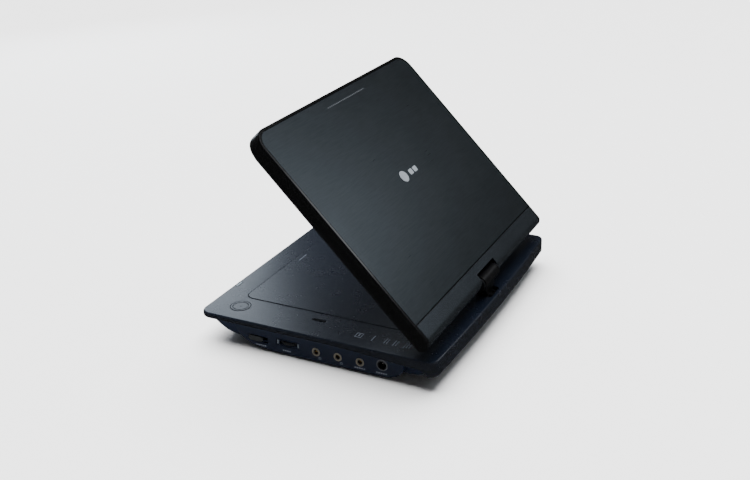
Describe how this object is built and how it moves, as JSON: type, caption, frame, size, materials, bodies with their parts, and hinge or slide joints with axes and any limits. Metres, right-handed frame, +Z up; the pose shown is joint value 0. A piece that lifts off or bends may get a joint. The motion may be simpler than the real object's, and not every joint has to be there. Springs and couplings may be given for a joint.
{
  "type": "portable dvd player",
  "caption": "Clamshell disc player with a tilting, swivelling screen half on a central hinge, a thin-rimmed base with a disc lid, side ports, a dial and a slide switch.",
  "frame": {"origin": "centre of the footprint, on the surface the feet stand on", "axes": "+X to the right of the person watching (the port side), +Y to the hinge side, +Z up"},
  "size_m": [0.231, 0.1944, 0.1691],
  "materials": {
    "deck_plastic": "satin dark blue-grey",
    "navy_plastic": "satin navy-black",
    "gloss_black": "polished black",
    "matte_black": "matt black",
    "brushed_blue": "brushed dark blue-black, grain along X",
    "satin_band": "satin blue-grey finish",
    "steel": "bright steel",
    "dark_steel": "dark plated steel",
    "rubber": "matt",
    "window_glass": "clear over a dark panel",
    "circuit_board": "green laminate",
    "grey_plastic": "matt grey",
    "cell_wrap": "shrink-wrapped cells",
    "white_plastic": "pale translucent"
  },
  "bodies": {
    "base": {"base_top_case": "deck_plastic", "base_bottom_case": "navy_plastic", "battery_cover": "navy_plastic", "foot_1": "rubber", "foot_2": "rubber", "foot_3": "rubber", "foot_4": "rubber", "case_screw_1": "steel", "case_screw_2": "steel", "case_screw_3": "steel", "case_screw_4": "steel", "disc_well": "matte_black", "drive_chassis": "steel", "spindle_motor": "dark_steel", "guide_rod_1": "steel", "guide_rod_2": "steel", "sled_motor": "dark_steel", "main_board": "circuit_board", "battery_pack": "cell_wrap", "jack_1": "matte_black", "jack_2": "matte_black", "jack_3": "matte_black", "dc_jack": "matte_black", "wheel_frame": "steel", "open_ring": "satin_band", "status_window": "gloss_black", "front_led": "white_plastic"},
    "disc_lid": {"disc_lid": "deck_plastic"},
    "spindle": {"spindle_hub": "matte_black"},
    "pickup": {"pickup_sled": "grey_plastic", "pickup_lens": "window_glass"},
    "lead_screw": {"lead_screw": "steel"},
    "power_switch": {"power_switch": "deck_plastic"},
    "volume_wheel": {"volume_wheel": "matte_black"},
    "open_button": {"open_button": "deck_plastic"},
    "lid_latch": {"lid_latch": "grey_plastic"},
    "swivel": {"swivel_turntable": "matte_black", "swivel_clip": "steel", "hinge_knuckle": "matte_black", "knuckle_screw_1": "steel", "knuckle_screw_2": "steel", "friction_cap_1": "dark_steel", "friction_cap_2": "dark_steel"},
    "screen": {"lid_shell": "gloss_black", "lid_panel": "brushed_blue", "hinge_band": "satin_band", "screen_bezel": "deck_plastic", "screen_glass": "window_glass", "lcd_module": "grey_plastic", "driver_board": "circuit_board", "speaker_1": "matte_black", "speaker_2": "matte_black", "hinge_shaft": "steel", "closing_bumper": "rubber", "emblem": "steel"},
    "nav_pad": {"nav_pad": "satin_band"},
    "key_1": {"key_1": "satin_band"},
    "key_2": {"key_2": "satin_band"},
    "key_3": {"key_3": "satin_band"},
    "key_4": {"key_4": "satin_band"}
  },
  "joints": [
    {"name": "screen_swivel", "type": "hinge", "parent": "base", "child": "swivel", "pos_m": [0, 0.0853, 0.0205], "axis": [0, 0, 1], "range_deg": [-180, 0]},
    {"name": "screen_tilt", "type": "hinge", "parent": "swivel", "child": "screen", "pos_m": [0, 0.086, 0.0354], "axis": [-1, 0, 0], "range_deg": [-45.9, 134.1]},
    {"name": "disc_lid_hinge", "type": "hinge", "parent": "base", "child": "disc_lid", "pos_m": [0, 0.0603, 0.0226], "axis": [-1, 0, 0], "range_deg": [0, 42]},
    {"name": "open_button_press", "type": "slide", "parent": "base", "child": "open_button", "axis": [0, 0, -1], "range_m": [0, 0.0012], "stiffness_N_per_m": 400, "springref_m": -0.001},
    {"name": "lid_latch_slide", "type": "slide", "parent": "base", "child": "lid_latch", "axis": [1, 0, 0], "range_m": [0, 0.0012]},
    {"name": "power_switch_slide", "type": "slide", "parent": "base", "child": "power_switch", "axis": [0, 1, 0], "range_m": [0, 0.0045]},
    {"name": "volume_wheel_turn", "type": "hinge", "parent": "base", "child": "volume_wheel", "pos_m": [0.1009, -0.0229, 0.0108], "axis": [0, 0, 1], "range_deg": [-150, 150]},
    {"name": "spindle_spin", "type": "hinge", "parent": "base", "child": "spindle", "pos_m": [0, -0.008, 0.016], "axis": [0, 0, 1], "continuous": true},
    {"name": "sled_travel", "type": "slide", "parent": "base", "child": "pickup", "axis": [-1, 0, 0], "range_m": [0, 0.033]},
    {"name": "lead_screw_turn", "type": "hinge", "parent": "base", "child": "lead_screw", "pos_m": [0, 0.0125, 0.0094], "axis": [1, 0, 0], "range_deg": [0, 1980]},
    {"name": "nav_pad_press", "type": "slide", "parent": "screen", "child": "nav_pad", "axis": [0, 0.7181, 0.6959], "range_m": [0, 0.0005], "stiffness_N_per_m": 500, "springref_m": -0.001},
    {"name": "key_1_press", "type": "slide", "parent": "screen", "child": "key_1", "axis": [0, 0.7181, 0.6959], "range_m": [0, 0.0005], "stiffness_N_per_m": 500, "springref_m": -0.001},
    {"name": "key_2_press", "type": "slide", "parent": "screen", "child": "key_2", "axis": [0, 0.7181, 0.6959], "range_m": [0, 0.0005], "stiffness_N_per_m": 500, "springref_m": -0.001},
    {"name": "key_3_press", "type": "slide", "parent": "screen", "child": "key_3", "axis": [0, 0.7181, 0.6959], "range_m": [0, 0.0005], "stiffness_N_per_m": 500, "springref_m": -0.001},
    {"name": "key_4_press", "type": "slide", "parent": "screen", "child": "key_4", "axis": [0, 0.7181, 0.6959], "range_m": [0, 0.0005], "stiffness_N_per_m": 500, "springref_m": -0.001}
  ],
  "couplings": [
    {"joint": "lid_latch_slide", "follows": "open_button_press", "ratio": 1},
    {"joint": "lead_screw_turn", "follows": "sled_travel", "rad_per_m": 1047.2}
  ]
}
